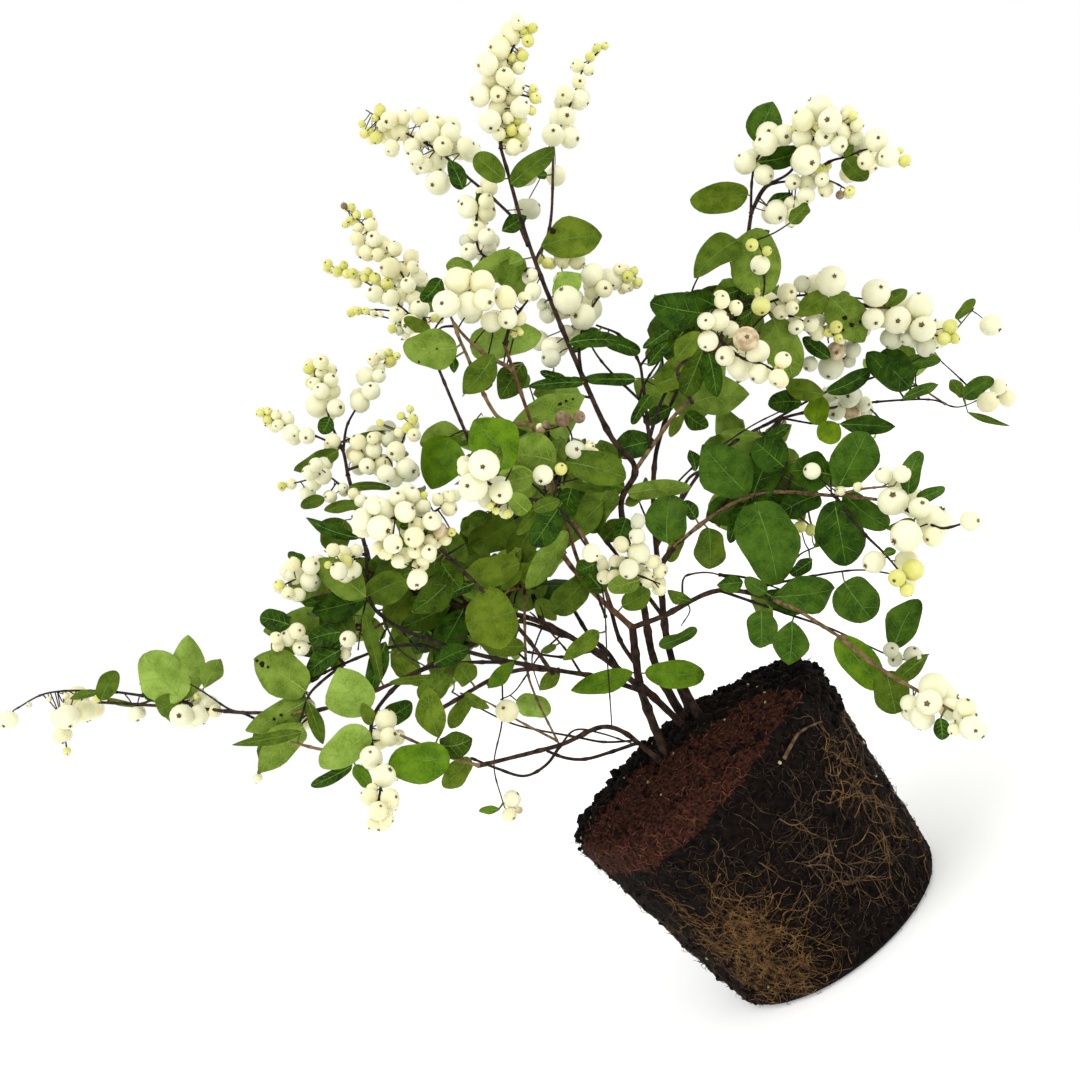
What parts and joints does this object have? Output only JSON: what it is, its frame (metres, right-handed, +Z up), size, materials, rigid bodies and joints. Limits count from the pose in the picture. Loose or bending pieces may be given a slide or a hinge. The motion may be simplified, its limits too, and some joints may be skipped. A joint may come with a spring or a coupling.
{
  "type": "snowberry shrub on its bare root ball",
  "caption": "Snowberry shrub with arching leafy boughs and spikes of white berries, standing on the flat underside of its bare, cone-shaped root ball.",
  "frame": {"origin": "centre of the root ball's flat underside", "axes": "+Z up the root ball's axis, +X towards the side the taller boughs lean to, -Y towards the viewer"},
  "size_m": [0.5311, 0.3298, 0.4655],
  "materials": {
    "soil": "matt, crumbly peat with fine roots",
    "bark": "matt dark brown bark",
    "twig": "matt brown twig bark",
    "foliage": "satin green leaves",
    "foliage_and_fruit": "satin green leaves with waxy white berries",
    "fruit": "waxy white berries"
  },
  "bodies": {
    "root": {"root_ball": "soil", "stem_leader": "bark", "stem_rear": "bark", "stem_right": "bark", "stem_left": "bark", "stem_brace": "bark", "bough_centre": "twig", "bough_low_right": "twig", "bough_left_mid": "twig", "bough_left_low": "twig", "bough_arch": "twig", "bough_far_left": "twig", "bough_mid_low": "twig", "bough_upper_left": "twig", "bough_shoulder": "twig", "bough_shoulder_front": "twig", "bough_top_left": "twig", "bough_second": "twig", "bough_upper_right": "twig", "bough_front_upper": "twig", "bough_centre_front": "twig", "bough_big_left": "twig", "bough_right_upper": "twig", "bough_right_outer": "twig", "bough_back_right": "twig", "bough_back_centre": "twig", "bough_back_left": "twig", "spray_top_spike": "fruit", "spray_second_spike": "fruit", "spray_top_left": "fruit", "spray_leader_collar": "foliage_and_fruit", "spray_upper_left": "fruit", "spray_front_upper": "foliage_and_fruit", "spray_upper_right": "foliage_and_fruit", "spray_top_right": "foliage_and_fruit", "spray_shoulder": "foliage", "spray_shoulder_front": "fruit", "spray_right_upper": "foliage_and_fruit", "spray_right_outer": "foliage_and_fruit", "spray_left_tops": "foliage_and_fruit", "spray_left_side": "fruit", "spray_big_left": "fruit", "spray_left_low": "foliage_and_fruit", "spray_centre_front": "foliage_and_fruit", "spray_centre_leaves": "foliage", "spray_mid_left": "foliage", "spray_low_centre": "foliage_and_fruit", "spray_right_leaves": "foliage", "spray_right_berries": "foliage_and_fruit", "spray_right_low": "foliage", "spray_hanging_tip": "foliage_and_fruit", "spray_low_left": "foliage", "spray_low_left_front": "foliage_and_fruit", "spray_far_leaves": "foliage", "spray_far_tip": "foliage_and_fruit", "spray_mid_low": "foliage_and_fruit", "spray_back_right": "foliage_and_fruit", "spray_back_centre": "foliage_and_fruit", "spray_back_left": "foliage"}
  },
  "joints": []
}
